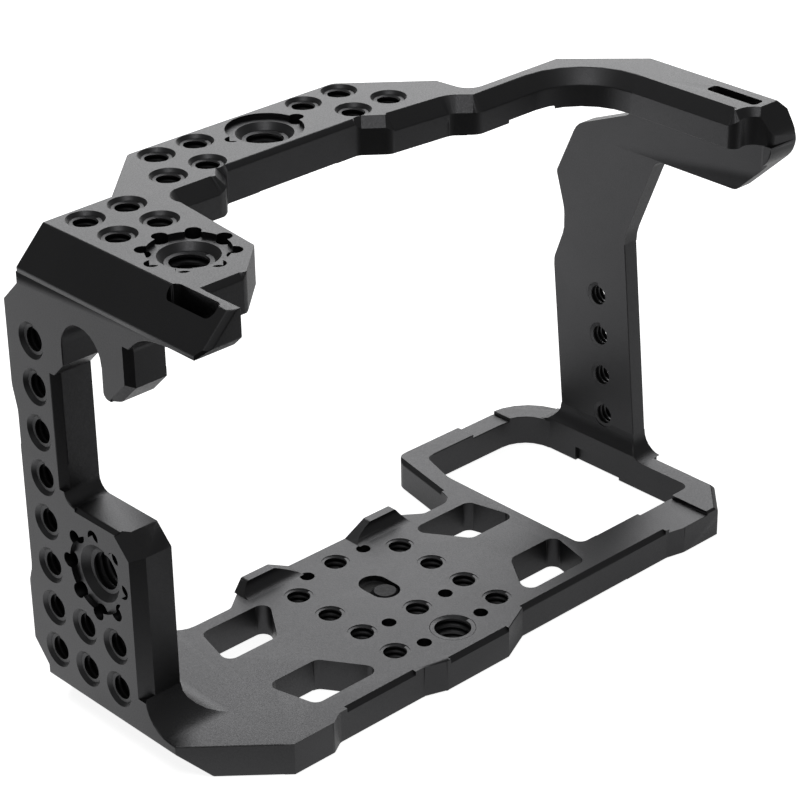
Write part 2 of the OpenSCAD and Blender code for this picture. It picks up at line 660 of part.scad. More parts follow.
// The bar narrows towards the bridge over the battery frame
right_cut = bay_out - lip_t;
bend_x = right_cut - side_bevel;
bend_y = bar_wing_rear - port_bevel;
bridge_x = bay_out - base_bevel / 4;
bridge_run = (bend_y - bridge_rear) / (bridge_x - bend_x);
right_cut_rear = bend_y - bridge_run * (right_cut - bend_x);
neck_x = bay_out + waist;
neck_y = deck_front;
brow_x = right_group_x + 1.2 * pitch;
neck_run = (bar_front - neck_y) / (neck_x - brow_x);
right_cut_front = bar_front - neck_run * (right_cut - brow_x);

module front_bar_right() color(black) difference() {
    bevelled_plate([
        [mid_cut_right, bar_rear, 0, narrow_bevel],
        [right_group_x + base_row_y, bar_rear, lip_t, lip_t],
        [right_group_x + rail_chamfer, bar_wing_rear, wide_bevel * 1.1, wide_bevel],
        [bend_x, bend_y, wide_bevel, wide_bevel], [right_cut, right_cut_rear],
        [right_cut, right_cut_front], [brow_x, bar_front, lip_t],
        [mid_cut_right, bar_front]], deck_low, deck_top);
    for (j = [0:1], i = [0:1])
        deck_small(right_group_x + i * pitch + j * pitch / 2, bar_row_y - j * pitch);
}

// The bridge over the battery frame and the corner at the grip
corner_r = 2 * rail_chamfer;
grip_cut_y = bridge_rear - corner_r - narrow_bevel;
corner_sum = right_x + grip_cut_y + wide_bevel + narrow_bevel;
module top_right_corner() color(black) difference() {
    bevelled_plate([
        [right_cut, right_cut_rear, 0, wide_bevel],
        [bridge_x, bridge_rear, wide_bevel * 1.1, wide_bevel],
        [grip_in, bridge_rear, corner_r, wide_bevel], [grip_in, grip_cut_y],
        [right_x, grip_cut_y], [right_x, corner_sum - right_x],
        [corner_sum - bridge_front, bridge_front],
        [neck_x + narrow_bevel, bridge_front, post_foot_r - narrow_bevel],
        [neck_x, neck_y], [right_cut, right_cut_front]], deck_low, deck_top);
    plan_bevel([right_x, grip_cut_y], [right_x, bridge_front], deck_top, grip_bevel, over);
    translate([joint_x + narrow_bevel, bridge_rear - over, deck_low - over])
        cube([corner_r, bridge_front - bridge_rear + 2 * over, over + channel_d]);
}

tail_in = grip_in + large_r;
tail_bevel = narrow_bevel * 1.6;
module grip_bar() color(black) difference() {
    intersection() {
        bevelled_plate([
            [grip_in, grip_cut_y, 0, wide_bevel],
            [grip_in, -grip_rear + large_r, lip_t, tail_bevel],
            [tail_in, -grip_rear + large_r, wide_bevel, tail_bevel],
            [tail_in + lip_t, -grip_rear + narrow_bevel / 2, lip_t, tail_bevel],
            [right_x, -grip_rear], [right_x, grip_cut_y]], deck_low, deck_top);
        side_slab([
            [grip_cut_y + over, deck_low - over], [-grip_rear, deck_low - over],
            [-grip_rear, deck_top - grip_end_drop, grip_end_drop],
            [-grip_rear + grip_end_run, deck_top], [-grip_rear + grip_end_run, deck_top + over],
            [grip_cut_y + over, deck_top + over]], grip_in - over, right_x + over);
    }
    plan_bevel([right_x, -grip_rear], [right_x, grip_cut_y], deck_top, grip_bevel, over);
    translate([strap_x, -strap_rear, deck_low - over]) strap_slot();
}
// Rectangular strap slot with round corners
module strap_slot() linear_extrude(deck_t + 2 * over) polygon(wall([
    [0, 0, narrow_bevel], [strap_w, 0, narrow_bevel], [strap_w, strap_l, narrow_bevel],
    [0, strap_l, narrow_bevel]]));

// Grip side

post_front = post_rear + post_w;
post_low = base_t + post_foot_r;
post_cut_z = arm_low - post_w;
lean_run = post_lean / (post_cut_z - post_low);
lean_turn = atan(lean_run);
neck_z = post_cut_z - pitch - narrow_bevel / 2;
neck_front = post_front + narrow_bevel / 5;
arm_h = deck_low - arm_low;
// Corners of the arm's front edge as shares of the post's width and the arm's
// height, and their radii as shares of the hole spacing, from the deck down
arm_front_shares = [[0.09, 1, 0], [0.17, 0.6, 0.2], [0.86, 0.145, 0.5], [1.12, -0.775, 0.3]];

module grip_arm() color(black) intersection() {
    side_slab(concat(
        [[post_rear + post_lean, post_cut_z], [neck_front, post_cut_z],
         [neck_front, post_cut_z + wide_bevel, recess_r]],
        [for (k = [3:-1:0])
            let (s = arm_front_shares[k])
            [post_rear + s[0] * post_w, arm_low + s[1] * arm_h, s[2] * pitch]],
        [[-grip_rear, deck_low], [-grip_rear, deck_low - arm_end_h, 2 * arm_end_h],
         [-wide_bevel, arm_low, lip_t],
         [post_rear - post_t - narrow_bevel / 4, arm_low, wide_bevel],
         [post_rear + post_lean, post_cut_z + lip_t, pitch]]),
        post_in - post_t, right_x);
    plate([[post_in, post_front + pitch], [post_in, -grip_rear + lip_t, post_t * 0.95],
           [post_in - post_t, -grip_rear + lip_t],
           [post_in - post_t, -grip_rear - over], [right_x + over, -grip_rear - over],
           [right_x + over, post_front + pitch]], 0, deck_top);
}

// Thread number k in the leaning post
module post_hole(k) translate([bay_right - over, post_col_y, post_row_z]) rotate([-lean_turn, 0, 0])
    translate([0, 0, k * row_step]) rotate([0, 90, 0])
        cylinder(h = outer_bar_t + 2 * over, r = small_r);

module grip_post() color(black) difference() {
    side_slab([[post_rear, post_low], [post_front, post_low],
               [post_front + (neck_z - post_low) * lean_run, neck_z, post_foot_r],
               [neck_front, post_cut_z - side_bevel, post_t], [neck_front, post_cut_z],
               [post_rear + post_lean, post_cut_z]], post_in, right_x);
    for (k = [0:3]) post_hole(k);
}

// Fillets where the post stands on the outer bar of the battery frame
post_arc = post_foot_r * 0.99;
module post_foot() color(black) difference() {
    intersection() {
        front_slab([[post_in - post_foot_r, 0], [right_x, 0], [right_x, post_low],
                    [post_in, post_low], [post_in, base_t, post_arc],
                    [post_in - post_foot_r, base_t]], 0, frame_front);
        side_slab([[post_rear - post_foot_r, 0], [post_front + post_foot_r, 0],
                   [post_front + post_foot_r, base_t], [post_front, base_t, post_arc],
                   [post_front, post_low], [post_rear, post_low], [post_rear, base_t, post_arc],
                   [post_rear - post_foot_r, base_t]], bay_right, right_x);
    }
    translate([bay_right - over, 0, -over]) cube([outer_bar_t + 2 * over, frame_front, base_t + over]);
    post_hole(0);
}

// Battery frame

frame_diagonal = frame_corner_r * 0.65;
outer_cut_rear = bay_rear + wide_bevel;
outer_cut_front = frame_front - frame_corner_r;
module frame_bevels() {
    plan_bevel([right_x, -frame_rear], [right_x, post_rear - post_foot_r], base_t, frame_bevel, over);
    plan_bevel([right_x, post_front + post_foot_r], [right_x, frame_front], base_t, frame_bevel);
}
module channel() translate([channel_x, -2 * frame_rear, base_t - channel_d])
    cube([channel_w, frame_front + 3 * frame_rear, channel_d + over]);

module battery_rear_bar() color(black) difference() {
    plate([[joint_x, -rear_right], [channel_x - narrow_bevel / 2, -rear_right, post_t],
           [channel_x + post_t, -frame_rear, post_t],
           [right_x - frame_diagonal, -frame_rear],
           [right_x, frame_diagonal - frame_rear], [right_x, outer_cut_rear],
           [bay_right, outer_cut_rear], [bay_right, bay_rear, lip_t], [joint_x, bay_rear]],
          0, base_t);
    channel();
    frame_bevels();
    plan_bevel([joint_x - over, -rear_right], [channel_x - narrow_bevel, -rear_right],
               base_t, base_bevel);
    plan_bevel([channel_x + post_foot_r, -frame_rear],
               [right_x - frame_diagonal, -frame_rear], base_t, base_bevel / 2);
    plan_bevel([right_x - frame_diagonal, -frame_rear], [right_x, frame_diagonal - frame_rear],
               base_t, base_bevel, over);
}

// Bar between the battery opening and the post, with a recess for the latch
module battery_outer_bar() color(black) difference() {
    plate([[bay_right, outer_cut_rear], [right_x, outer_cut_rear], [right_x, outer_cut_front],
           [bay_right, outer_cut_front]], 0, base_t);
    frame_bevels();
    translate([bay_right - over, post_rear + lip_t, -over])
        cube([over + narrow_bevel, corner_r, over + base_t / 2]);
}

module battery_front_bar() color(black) difference() {
    plate([[joint_x, bay_front], [bay_right, bay_front, bay_corner_r],
           [bay_right, outer_cut_front], [right_x, outer_cut_front],
           [right_x, frame_front, frame_corner_r - narrow_bevel / 4], [joint_x, frame_front]],
          0, base_t);
    channel();
}

// This bar slants towards the lens, and so does the opening's wall near its front
module battery_inner_bar() color(black) difference() {
    bay_nose = bay_out + narrow_bevel * 0.9;
    plate([[bay_joint, joint_front], [bay_left, joint_front], [bay_left, bay_front - pitch, pitch],
           [bay_left + wide_bevel, bay_front, lip_t], [joint_x, bay_front],
           [joint_x, frame_front], [bay_nose, frame_front, post_t]], 0, base_t);
    plan_bevel([bay_joint, joint_front], [bay_nose, frame_front], base_t, narrow_bevel * 0.9, over);
}

// Camera screw

module retaining_ring() color(nylon) translate([0, screw_y, ring_top - ring_t]) difference() {
    cylinder(h = ring_t, r = ring_r);
    translate([0, 0, -over]) cylinder(h = ring_t + 2 * over, r = small_r + play);
}

washer_low = head_lift + head_t;
module screw_washer() color(steel) translate([0, screw_y, washer_low]) difference() {
    cylinder(h = washer_t, r = head_r);
    translate([0, 0, -over]) cylinder(h = washer_t + 2 * over, r = small_r + play);
}

module camera_screw() color(steel) translate([0, screw_y, head_lift]) difference() {
    tip_cone = small_r - large_r / 2;
    tip_z = base_t - tip_drop - head_lift;
    union() {
        cylinder(h = head_t - play, r = head_r);
        cylinder(h = tip_z - tip_cone, r = small_r);
        translate([0, 0, tip_z - tip_cone]) cylinder(h = tip_cone, r1 = small_r, r2 = large_r / 2);
    }
    translate([0, 0, -over]) cylinder(h = over + base_t / 2, d = socket_flats / cos(30), $fn = 6);
}

base_plate();
left_lens_lip();
right_lens_lip();
left_foot();
left_side_lower();
left_side_column();
left_side_upper();
cable_hook();
rail_tail();
top_left_deck();
front_bar_left();
front_bar_middle();
front_bar_right();
top_right_corner();
grip_bar();
grip_arm();
grip_post();
post_foot();
battery_rear_bar();
battery_outer_bar();
battery_front_bar();
battery_inner_bar();
retaining_ring();
screw_washer();
camera_screw();
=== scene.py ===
import json
import math

import bmesh
import bpy
from mathutils import Matrix, Vector
from mathutils.bvhtree import BVHTree
from mathutils.geometry import intersect_point_line


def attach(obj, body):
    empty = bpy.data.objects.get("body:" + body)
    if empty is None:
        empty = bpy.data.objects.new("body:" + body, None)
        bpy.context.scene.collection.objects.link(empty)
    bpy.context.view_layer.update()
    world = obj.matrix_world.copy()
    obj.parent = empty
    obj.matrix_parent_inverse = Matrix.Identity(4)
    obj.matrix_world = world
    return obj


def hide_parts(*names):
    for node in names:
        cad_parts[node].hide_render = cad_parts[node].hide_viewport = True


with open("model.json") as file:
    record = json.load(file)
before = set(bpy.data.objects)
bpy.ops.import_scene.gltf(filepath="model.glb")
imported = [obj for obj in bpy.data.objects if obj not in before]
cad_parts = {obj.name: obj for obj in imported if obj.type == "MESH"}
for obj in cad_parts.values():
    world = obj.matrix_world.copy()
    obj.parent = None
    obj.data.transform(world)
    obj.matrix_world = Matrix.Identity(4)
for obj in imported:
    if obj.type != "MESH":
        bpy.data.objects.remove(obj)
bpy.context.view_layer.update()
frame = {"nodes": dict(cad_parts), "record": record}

# Milled frame
# One billet of aluminium, milled, blasted with fine beads and anodised black.
# Its edges are broken by a hair, so they catch the light. Where two members
# meet face to face the billet goes on, and the cut leaves no broken edge.
BLACK = (0.062, 0.062, 0.064, 1)
FRAME_ROUGHNESS = (0.36, 0.5)
BEAD_SIZE = 0.00028
BEAD_DEPTH = 0.00004
BEAD_STRENGTH = 0.5
DYE_PATCH_SIZE = 0.02
DYE_SPREAD = 0.12
EDGE_BREAK = 0.00022


def blasted_grain():
    """Fine bead marks and a broad, faint unevenness of the dye."""
    effects = (("Bead Size", BEAD_SIZE, "Bead Height", 2),
               ("Dye Patch Size", DYE_PATCH_SIZE, "Dye Patch", 3))
    group = bpy.data.node_groups.new("Blasted grain", "ShaderNodeTree")
    for size, usual, height, detail in effects:
        socket = group.interface.new_socket(size, in_out="INPUT", socket_type="NodeSocketFloat")
        socket.default_value = usual
        group.interface.new_socket(height, in_out="OUTPUT", socket_type="NodeSocketFloat")
    nodes, link = group.nodes, group.links.new
    inputs, outputs = nodes.new("NodeGroupInput"), nodes.new("NodeGroupOutput")
    place = nodes.new("ShaderNodeTexCoord")
    for size, usual, height, detail in effects:
        scale = nodes.new("ShaderNodeMath")
        scale.operation = "DIVIDE"
        scale.inputs[0].default_value = 1
        link(inputs.outputs[size], scale.inputs[1])
        noise = nodes.new("ShaderNodeTexNoise")
        noise.inputs["Detail"].default_value = detail
        link(place.outputs["Object"], noise.inputs["Vector"])
        link(scale.outputs[0], noise.inputs["Scale"])
        link(noise.outputs["Fac"], outputs.inputs[height])
    return group


GRAIN = blasted_grain()
MIX_FACTOR, MIX_LOW, MIX_HIGH, MIX_COLOUR = 0, 6, 7, 2  # sockets of a Mix node for colours


def grained(name, low_colour, high_colour, bead_size, bump_strength, bump_depth):
    """A new material whose colour and surface follow the grain."""
    made = bpy.data.materials.new(name)
    made.use_nodes = True
    nodes, link = made.node_tree.nodes, made.node_tree.links.new
    shader, grain = nodes["Principled BSDF"], nodes.new("ShaderNodeGroup")
    grain.node_tree = GRAIN
    grain.inputs["Bead Size"].default_value = bead_size
    dye = nodes.new("ShaderNodeMix")
    dye.data_type = "RGBA"
    dye.inputs[MIX_LOW].default_value = low_colour
    dye.inputs[MIX_HIGH].default_value = high_colour
    link(grain.outputs["Dye Patch"], dye.inputs[MIX_FACTOR])
    link(dye.outputs[MIX_COLOUR], shader.inputs["Base Color"])
    bump = nodes.new("ShaderNodeBump")
    bump.inputs["Strength"].default_value = bump_strength
    bump.inputs["Distance"].default_value = bump_depth
    link(grain.outputs["Bead Height"], bump.inputs["Height"])
    link(bump.outputs["Normal"], shader.inputs["Normal"])
    return made, shader, grain


def metal(name, colour, roughness, bead_size=BEAD_SIZE):
    """A dark metal that is a little rougher on the heights of its grain."""
    low_height, high_height = 0.3, 0.7
    low_colour = [c * (1 - DYE_SPREAD) for c in colour[:3]] + [1]
    high_colour = [c * (1 + DYE_SPREAD) for c in colour[:3]] + [1]
    made, shader, grain = grained(name, low_colour, high_colour, bead_size, BEAD_STRENGTH, BEAD_DEPTH)
    shader.inputs["Metallic"].default_value = 1
    gloss = made.node_tree.nodes.new("ShaderNodeMapRange")
    gloss.inputs["From Min"].default_value = low_height
    gloss.inputs["From Max"].default_value = high_height
    gloss.inputs["To Min"].default_value, gloss.inputs["To Max"].default_value = roughness
    made.node_tree.links.new(grain.outputs["Bead Height"], gloss.inputs["Value"])
    made.node_tree.links.new(gloss.outputs["Result"], shader.inputs["Roughness"])
    return made


anodised = metal("Black anodised aluminium", BLACK, FRAME_ROUGHNESS)
members = list(frame["record"]["behaviour"]["bodies"]["cage"])

WELD = 2e-6
FLAT_ANGLE = math.radians(0.6)
CUT_GAP = 0.00003


def merged(node):
    """A welded copy of a CAD node, with the flat faces joined up again."""
    shape = bmesh.new()
    shape.from_mesh(frame["nodes"][node].data)
    bmesh.ops.remove_doubles(shape, verts=shape.verts, dist=WELD)
    bmesh.ops.dissolve_limit(shape, angle_limit=FLAT_ANGLE, verts=shape.verts, edges=shape.edges)
    return shape


surfaces = {}
for node in members:
    shape = merged(node)
    surfaces[node] = BVHTree.FromBMesh(shape)
    shape.free()


def on_a_cut(point, node):
    """Whether a point of one member lies on the surface of another."""
    return any(surface.find_nearest(point, CUT_GAP)[0] is not None
               for name, surface in surfaces.items() if name != node)


TURNED_AWAY = -0.05
AREA_SLACK_SHARE = 0.03
AREA_SLACK = 1e-10


def folded(mesh):
    """The corners of the faces that a break has folded over or crossed."""
    mesh.calc_loop_triangles()
    covered = [0.0] * len(mesh.polygons)
    for triangle in mesh.loop_triangles:
        covered[triangle.polygon_index] += triangle.area
    corners = []
    for face in mesh.polygons:
        turn = min(mesh.corner_normals[i].vector.dot(face.normal) for i in face.loop_indices)
        excess = abs(covered[face.index] - face.area)
        if turn < TURNED_AWAY or excess > AREA_SLACK_SHARE * face.area + AREA_SLACK:
            corners += [mesh.vertices[i].co.copy() for i in face.vertices]
    return corners


PAST_THE_END_SHARE = 0.1


def near_a_fault(edge, faults, reach):
    """Whether a fault lies close to an edge, beside it or just past its ends."""
    for fault in faults:
        foot, share = intersect_point_line(fault, *edge)
        if (fault - foot).length < reach and -PAST_THE_END_SHARE < share < 1 + PAST_THE_END_SHARE:
            return True
    return False


SHARP_ANGLE = math.radians(24)
SMALL_FACE = 4e-6
BREAK_STEPS = 2
TRIES = 8
FAULT_REACH_SHARE = 1.6
LEAST_BREAK_SHARE = 0.3


def finished(node, material, width, unbroken=lambda point: False):
    """The node's shape with its sharp edges broken to the given width.

    Edges beside very small faces, such as the rims of holes, stay sharp, and a
    break that would fold a face is made narrower until it fits."""
    shape = merged(node)
    mesh = bpy.data.meshes.new(node + "_finished")
    edges, sharp, shares = [], [], []
    for edge in shape.edges:
        start, end = (corner.co.copy() for corner in edge.verts)
        angle = edge.calc_face_angle(0) if len(edge.link_faces) == 2 else 0
        smallest = min((face.calc_area() for face in edge.link_faces), default=0)
        edges.append((start, end))
        sharp.append(angle > SHARP_ANGLE)
        shares.append(1.0 if angle > SHARP_ANGLE and edge.is_convex and smallest > SMALL_FACE
                      and not unbroken((start + end) / 2) else 0.0)
    for face in shape.faces:
        face.smooth = True
    shape.to_mesh(mesh)
    shape.free()
    breaks = mesh.attributes.new("bevel_weight_edge", "FLOAT", "EDGE")
    creases = mesh.attributes.new("sharp_edge", "BOOLEAN", "EDGE")
    rough = bpy.data.objects.new(node + "_rough", mesh)
    bpy.context.collection.objects.link(rough)
    bevel = rough.modifiers.new("Broken edge", "BEVEL")
    bevel.width, bevel.segments, bevel.limit_method = width, BREAK_STEPS, "WEIGHT"
    bevel.use_clamp_overlap = False
    bevel.miter_outer = "MITER_ARC"
    rough.modifiers.new("Flat faces", "WEIGHTED_NORMAL").keep_sharp = True
    for attempt in range(TRIES):
        breaks.data.foreach_set("value", shares)
        creases.data.foreach_set("value", [bend and not share for bend, share in zip(sharp, shares)])
        mesh.update()
        result = bpy.data.meshes.new_from_object(
            rough.evaluated_get(bpy.context.evaluated_depsgraph_get()))
        faults = folded(result)
        too_wide = [i for i, edge in enumerate(edges)
                    if shares[i] and near_a_fault(edge, faults, FAULT_REACH_SHARE * width)]
        if not too_wide:
            break
        for i in too_wide:
            shares[i] = shares[i] / 2 if shares[i] > LEAST_BREAK_SHARE else 0
    bpy.data.objects.remove(rough)
    result.materials.clear()
    result.materials.append(material)
    piece = bpy.data.objects.new(node + "_piece", result)
    bpy.context.collection.objects.link(piece)
    return piece


for node in members:
    piece = finished(node, anodised, EDGE_BREAK, unbroken=lambda point: on_a_cut(point, node))
    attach(piece, "cage")
    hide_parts(node)

# Tapped threads
# Every hole is tapped, a quarter inch across with 20 turns to the inch or three
# eighths with 16. The ridges are part of the frame and are dyed with it. They
# run out where the tap stops and where the countersink begins.
INCH = 0.0254
MILLIMETRE = 0.001
QUARTER = (INCH / 8, INCH / 20)  # radius, then pitch
THREE_EIGHTHS = (INCH * 3 / 16, INCH / 16)
QUARTER_DEPTH = 0.00068
THREE_EIGHTHS_DEPTH = 0.00085
POST_DEPTH = 0.0009  # a little deeper than the tap's, so that no light comes through the post
FLANK_FOOT_SHARE, CREST_SHARE = 0.46, 0.14
ROOT_SINK = 0.00004
STEPS_A_TURN = 28
SLIVER = 1e-7


def ridge(thread, depth, length):
    """One right-handed ridge, coiled down from the mouth of a hole.

    It is cut off level at the mouth and at the given length, like a tapped wall."""
    radius, pitch = thread
    crest, root = radius - depth, radius + ROOT_SINK
    section = ((root, -FLANK_FOOT_SHARE), (root, FLANK_FOOT_SHARE), (crest, CREST_SHARE),
               (crest, -CREST_SHARE))
    corners = len(section)
    turns = length / pitch + 1
    count = int(turns * STEPS_A_TURN)
    points, faces = [], []
    for i in range(count + 1):
        share = i / count
        angle = 2 * math.pi * turns * share
        middle = pitch * (0.5 - turns * share)
        for r, rise in section:
            level = max(-length, min(0, middle + rise * pitch))
            points.append((r * math.cos(angle), -r * math.sin(angle), level))
        if i:
            last, this = corners * (i - 1), corners * i
            for k in range(corners):
                after = (k + 1) % corners
                faces.append((last + k, last + after, this + after, this + k))
    faces.append(tuple(reversed(range(corners))))
    faces.append(tuple(range(corners * count, corners * (count + 1))))
    mesh = bpy.data.meshes.new("ridge")
    mesh.from_pydata(points, [], faces)
    shape = bmesh.new()
    shape.from_mesh(mesh)
    bmesh.ops.dissolve_degenerate(shape, dist=SLIVER, edges=shape.edges)
    bmesh.ops.recalc_face_normals(shape, faces=shape.faces)
    shape.to_mesh(mesh)
    shape.free()
    coil = bpy.data.objects.new("ridge", mesh)
    bpy.context.collection.objects.link(coil)
    return coil


def placed_at_holes():
    """A tree that sets one coiled ridge at every point of a row of holes."""
    tree = bpy.data.node_groups.new("Tapped holes", "GeometryNodeTree")
    for name, kind in (("Holes", "NodeSocketGeometry"), ("Ridge", "NodeSocketObject"),
                       ("Turn", "NodeSocketVector"), ("Finish", "NodeSocketMaterial")):
        tree.interface.new_socket(name, in_out="INPUT", socket_type=kind)
    tree.interface.new_socket("Threads", in_out="OUTPUT", socket_type="NodeSocketGeometry")
    nodes, link = tree.nodes, tree.links.new
    given, out = nodes.new("NodeGroupInput"), nodes.new("NodeGroupOutput")
    coil, put = nodes.new("GeometryNodeObjectInfo"), nodes.new("GeometryNodeInstanceOnPoints")
    real, paint = nodes.new("GeometryNodeRealizeInstances"), nodes.new("GeometryNodeSetMaterial")
    link(given.outputs["Ridge"], coil.inputs["Object"])
    link(given.outputs["Holes"], put.inputs["Points"])
    link(coil.outputs["Geometry"], put.inputs["Instance"])
    link(given.outputs["Turn"], put.inputs["Rotation"])
    link(put.outputs["Instances"], real.inputs["Geometry"])
    link(real.outputs["Geometry"], paint.inputs["Geometry"])
    link(given.outputs["Finish"], paint.inputs["Material"])
    link(paint.outputs["Geometry"], out.inputs["Threads"])
    return tree


TAPPED = placed_at_holes()
MOUNTS = {mount["name"]: mount for mount in frame["record"]["mounts"]}
X, Y, Z = Vector((1, 0, 0)), Vector((0, 1, 0)), Vector((0, 0, 1))
UP_THE_POST = (Vector(MOUNTS["grip_post_upper_pair"]["pos_m"])
               - Vector(MOUNTS["grip_post_lower_pair"]["pos_m"])).normalized()


def mouths(names, inwards):
    """The points where the ridges of some mounts' holes begin.

    A mount's record gives its middle, the way it faces and how far its holes
    stand apart. The ridges begin at a named distance inwards from it."""
    points = []
    for name in names:
        facing = Vector(MOUNTS[name]["axis"])
        across, up = (X, Y) if facing.z else (Y, Z)
        spread = [Vector(MOUNTS[name]["pos_m"]) - facing * inwards]
        for spacing, way in (("spacing_x_mm", across), ("spacing_y_mm", up), ("pcd_mm", UP_THE_POST)):
            half = MOUNTS[name]["dims"].get(spacing, 0) * MILLIMETRE / 2
            if half:
                spread = [point + side * half * way for point in spread for side in (-1, 1)]
        points += spread
    return points


def tapped_row(name, holes, turn, coil):
    """The ridges of a group of like holes, made as one piece of the frame."""
    mesh = bpy.data.meshes.new(name + "_mouths")
    mesh.from_pydata(holes, [], [])
    holder = bpy.data.objects.new(name + "_holder", mesh)
    bpy.context.collection.objects.link(holder)
    modifier = holder.modifiers.new("Tapped holes", "NODES")
    modifier.node_group = TAPPED
    values = {"Ridge": coil, "Turn": turn, "Finish": anodised}
    for socket in TAPPED.interface.items_tree:
        if socket.name in values:
            modifier[socket.identifier] = values[socket.name]
    holder.update_tag()
    result = bpy.data.meshes.new_from_object(
        holder.evaluated_get(bpy.context.evaluated_depsgraph_get()))
    bpy.data.objects.remove(holder)
    bpy.data.objects.remove(coil)
    piece = bpy.data.objects.new(name, result)
    bpy.context.collection.objects.link(piece)
    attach(piece, "cage")


UPWARDS = (0, 0, 0)
TO_THE_LEFT = (0, math.radians(-90), 0)
FACE_TO_QUARTER = 0.000025
FACE_TO_THREE_EIGHTHS = 0.0000325
UNDERSIDE_TO_QUARTER = 0.0071
UNDERSIDE_TO_THREE_EIGHTHS = 0.00715
POST_FACE_TO_QUARTER = 0.00398
DECK_RUN, SIDE_RUN, POST_RUN = 0.0068, 0.0078, 0.00396
LARGE_BASE_RUN, LARGE_DECK_RUN, LARGE_SIDE_RUN = 0.0071, 0.0055, 0.0063

tapped_row("base_small_threads",
           mouths(("base_outer_threads", "base_inner_threads", "base_centre_threads"),
                  UNDERSIDE_TO_QUARTER),
           UPWARDS, ridge(QUARTER, QUARTER_DEPTH, DECK_RUN))
tapped_row("base_large_thread",
           mouths(("tripod_thread",), UNDERSIDE_TO_THREE_EIGHTHS),
           UPWARDS, ridge(THREE_EIGHTHS, THREE_EIGHTHS_DEPTH, LARGE_BASE_RUN))
tapped_row("left_deck_small_threads",
           mouths(("left_deck_threads",), FACE_TO_QUARTER),
           UPWARDS, ridge(QUARTER, QUARTER_DEPTH, DECK_RUN))
tapped_row("front_bar_small_threads",
           mouths(("front_bar_left_front_pair", "front_bar_left_rear_pair",
                   "front_bar_right_front_pair", "front_bar_right_rear_pair"), FACE_TO_QUARTER),
           UPWARDS, ridge(QUARTER, QUARTER_DEPTH, DECK_RUN))
tapped_row("deck_large_threads",
           mouths(("left_deck_large_thread", "front_bar_large_thread"), FACE_TO_THREE_EIGHTHS),
           UPWARDS, ridge(THREE_EIGHTHS, THREE_EIGHTHS_DEPTH, LARGE_DECK_RUN))
tapped_row("side_small_threads",
           mouths(("side_low_threads", "side_low_middle_threads", "side_column_lower_pair",
                   "side_column_middle_pair", "side_column_upper_pair"), FACE_TO_QUARTER),
           TO_THE_LEFT, ridge(QUARTER, QUARTER_DEPTH, SIDE_RUN))
tapped_row("side_large_thread",
           mouths(("side_large_thread",), FACE_TO_THREE_EIGHTHS),
           TO_THE_LEFT, ridge(THREE_EIGHTHS, THREE_EIGHTHS_DEPTH, LARGE_SIDE_RUN))
tapped_row("post_small_threads",
           mouths(("grip_post_lower_pair", "grip_post_upper_pair"), POST_FACE_TO_QUARTER),
           TO_THE_LEFT, ridge(QUARTER, POST_DEPTH, POST_RUN))

# Captive screw
# The camera screw is turned from steel and blackened, with a hexagon socket,
# and it hangs in a pocket of the base. A black nylon ring on its undercut
# shank keeps it there, above a thin washer on its head.
BLACKENED = (0.022, 0.022, 0.023, 1)
STEEL_ROUGHNESS = (0.5, 0.62)
TURNING_MARK, WASHER_MARK, MOULD_MARK = 0.0006, 0.0004, 0.0008
NYLON_DARK, NYLON_PALE = (0.018, 0.018, 0.018, 1), (0.026, 0.026, 0.027, 1)
NYLON_ROUGHNESS = 0.7
NYLON_SHINE = 0.2
NYLON_STRENGTH = 0.3
NYLON_DEPTH = 0.00003
SCREW_BREAK, WASHER_BREAK = 0.0001, 0.00005

blackened = metal("Blackened steel", BLACKENED, STEEL_ROUGHNESS, TURNING_MARK)
washer_steel = metal("Blackened washer", BLACKENED, STEEL_ROUGHNESS, WASHER_MARK)
nylon, moulded, grain = grained("Black nylon", NYLON_DARK, NYLON_PALE, MOULD_MARK,
                                NYLON_STRENGTH, NYLON_DEPTH)
moulded.inputs["Roughness"].default_value = NYLON_ROUGHNESS
moulded.inputs["Specular IOR Level"].default_value = NYLON_SHINE
for node, body, finish, slot, width in (
        ("retaining_ring", "retaining_ring", nylon, "ring_nylon", SCREW_BREAK),
        ("screw_washer", "screw_washer", washer_steel, "screw_steel", WASHER_BREAK),
        ("camera_screw", "camera_screw", blackened, "screw_steel", SCREW_BREAK)):
    piece = finished(node, finish, width)
    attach(piece, body)
    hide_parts(node)

# Floor and light
# A pale paper floor, a dim room, and two broad soft lamps: one beyond the cage,
# which the tops mirror, and a weak one high behind the camera. The floor as the
# metal mirrors it carries painted shade: it is painted pale on the far left only,
# and painted dark towards the camera.
FLOOR_SIZE = 6
FLOOR_GAP = 0.0002
PAPER_TONE = 0.8
PAPER_GLOW = 0.85
# A direction on the floor, the places along it where the painted shade of the
# mirrored floor is darkest and palest, and how pale it is where it is darkest.
AWAY_PAINTED_SHADE = ((1, 1, 0), -0.13, -0.05, 0.05)
LEFTWARD_PAINTED_SHADE = ((-1, 1, 0), -0.03, 0.10, 0.55)

bpy.ops.mesh.primitive_plane_add(size=FLOOR_SIZE, location=(0, 0, -FLOOR_GAP))
floor = bpy.context.object
floor.name = "floor"
paper = bpy.data.materials.new("Pale paper")
paper.use_nodes = True
nodes, link = paper.node_tree.nodes, paper.node_tree.links.new
shader = nodes["Principled BSDF"]
shader.inputs["Roughness"].default_value = 1
shader.inputs["Specular IOR Level"].default_value = 0
shader.inputs["Emission Color"].default_value = (1, 1, 1, 1)
rays, place = nodes.new("ShaderNodeLightPath"), nodes.new("ShaderNodeTexCoord")


def reckoned(operation, *values):
    """The result of a Math node of the paper, fed with numbers and sockets."""
    node = nodes.new("ShaderNodeMath")
    node.operation = operation
    for socket, value in zip(node.inputs, values):
        if isinstance(value, bpy.types.NodeSocket):
            link(value, socket)
        else:
            socket.default_value = value
    return node.outputs[0]
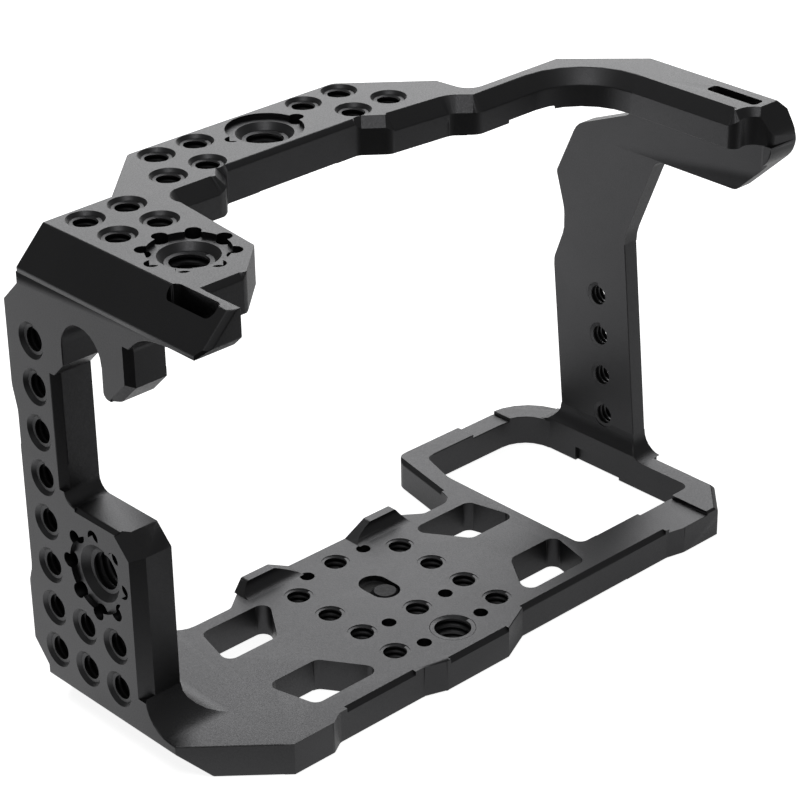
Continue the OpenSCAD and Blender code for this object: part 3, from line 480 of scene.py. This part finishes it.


# Painted reflection: for glossy rays only, the floor's tone and glow fade along the two directions, a
# painted shade in what the metal mirrors.
painted_reflection = rays.outputs["Is Glossy Ray"]
for way, dark_end, pale_end, darkest in (AWAY_PAINTED_SHADE, LEFTWARD_PAINTED_SHADE):
    along = nodes.new("ShaderNodeVectorMath")
    along.operation = "DOT_PRODUCT"
    along.inputs[1].default_value = way
    link(place.outputs["Object"], along.inputs[0])
    painted_fade = nodes.new("ShaderNodeMapRange")
    painted_fade.inputs["From Min"].default_value = dark_end
    painted_fade.inputs["From Max"].default_value = pale_end
    painted_fade.inputs["To Min"].default_value = darkest
    painted_fade.inputs["To Max"].default_value = 1
    link(along.outputs["Value"], painted_fade.inputs["Value"])
    painted_reflection = reckoned("MULTIPLY", painted_reflection, painted_fade.outputs["Result"])
not_mirrored = reckoned("SUBTRACT", 1, rays.outputs["Is Glossy Ray"])
tone = reckoned("ADD", not_mirrored, painted_reflection)
link(reckoned("MULTIPLY", tone, PAPER_TONE), shader.inputs["Base Color"])
glow = reckoned("MAXIMUM", rays.outputs["Is Camera Ray"], painted_reflection)
glow = reckoned("MAXIMUM", glow, rays.outputs["Is Transmission Ray"])
link(reckoned("MULTIPLY", glow, PAPER_GLOW), shader.inputs["Emission Strength"])
floor.data.materials.append(paper)


def soft_lamp(name, place, size, power):
    """A square soft lamp that faces the middle of the cage."""
    data = bpy.data.lights.new(name, "AREA")
    data.size, data.energy = size, power
    lamp = bpy.data.objects.new(name, data)
    bpy.context.collection.objects.link(lamp)
    lamp.location = place
    lamp.rotation_euler = (LIT_POINT - Vector(place)).to_track_quat("-Z", "Y").to_euler()


LIT_POINT = Vector((0, 0.02, 0.05))
FAR_LAMP_PLACE, FAR_LAMP_SIZE, FAR_LAMP_POWER = (0.50, 0.56, 0.46), 0.7, 4.4
HIGH_LAMP_PLACE, HIGH_LAMP_SIZE, HIGH_LAMP_POWER = (-0.30, -0.25, 0.95), 0.4, 1.6
ROOM_GLOW = 0.19
soft_lamp("far_lamp", FAR_LAMP_PLACE, FAR_LAMP_SIZE, FAR_LAMP_POWER)
soft_lamp("high_lamp", HIGH_LAMP_PLACE, HIGH_LAMP_SIZE, HIGH_LAMP_POWER)
world = bpy.data.worlds.new("Room")
bpy.context.scene.world = world
world.use_nodes = True
world.node_tree.nodes["Background"].inputs["Color"].default_value = (1, 1, 1, 1)
world.node_tree.nodes["Background"].inputs["Strength"].default_value = ROOM_GLOW

# Camera
# Its place, its turn and its lens were solved from the rows of threads on
# three faces of the cage in the photograph.
CAMERA_PLACE = (-0.325692, -0.336508, 0.30817)
RIGHTWARDS = Vector((0.728138, -0.685271, -0.014808))
DOWNWARDS = Vector((-0.329552, -0.331061, -0.884191))
AHEAD = Vector((0.601008, 0.648693, -0.46689))
LENS_MM, SENSOR_MM = 119.712, 36
NEAREST, FARTHEST = 0.01, 20

camera_data = bpy.data.cameras.new("camera")
camera = bpy.data.objects.new("camera", camera_data)
bpy.context.collection.objects.link(camera)
camera_turn = Matrix((RIGHTWARDS, -DOWNWARDS, -AHEAD)).transposed().to_4x4()
camera.matrix_world = Matrix.Translation(CAMERA_PLACE) @ camera_turn
camera_data.lens, camera_data.sensor_width = LENS_MM, SENSOR_MM
camera_data.clip_start, camera_data.clip_end = NEAREST, FARTHEST
bpy.context.scene.camera = camera
bpy.context.scene.view_settings.view_transform = "Standard"
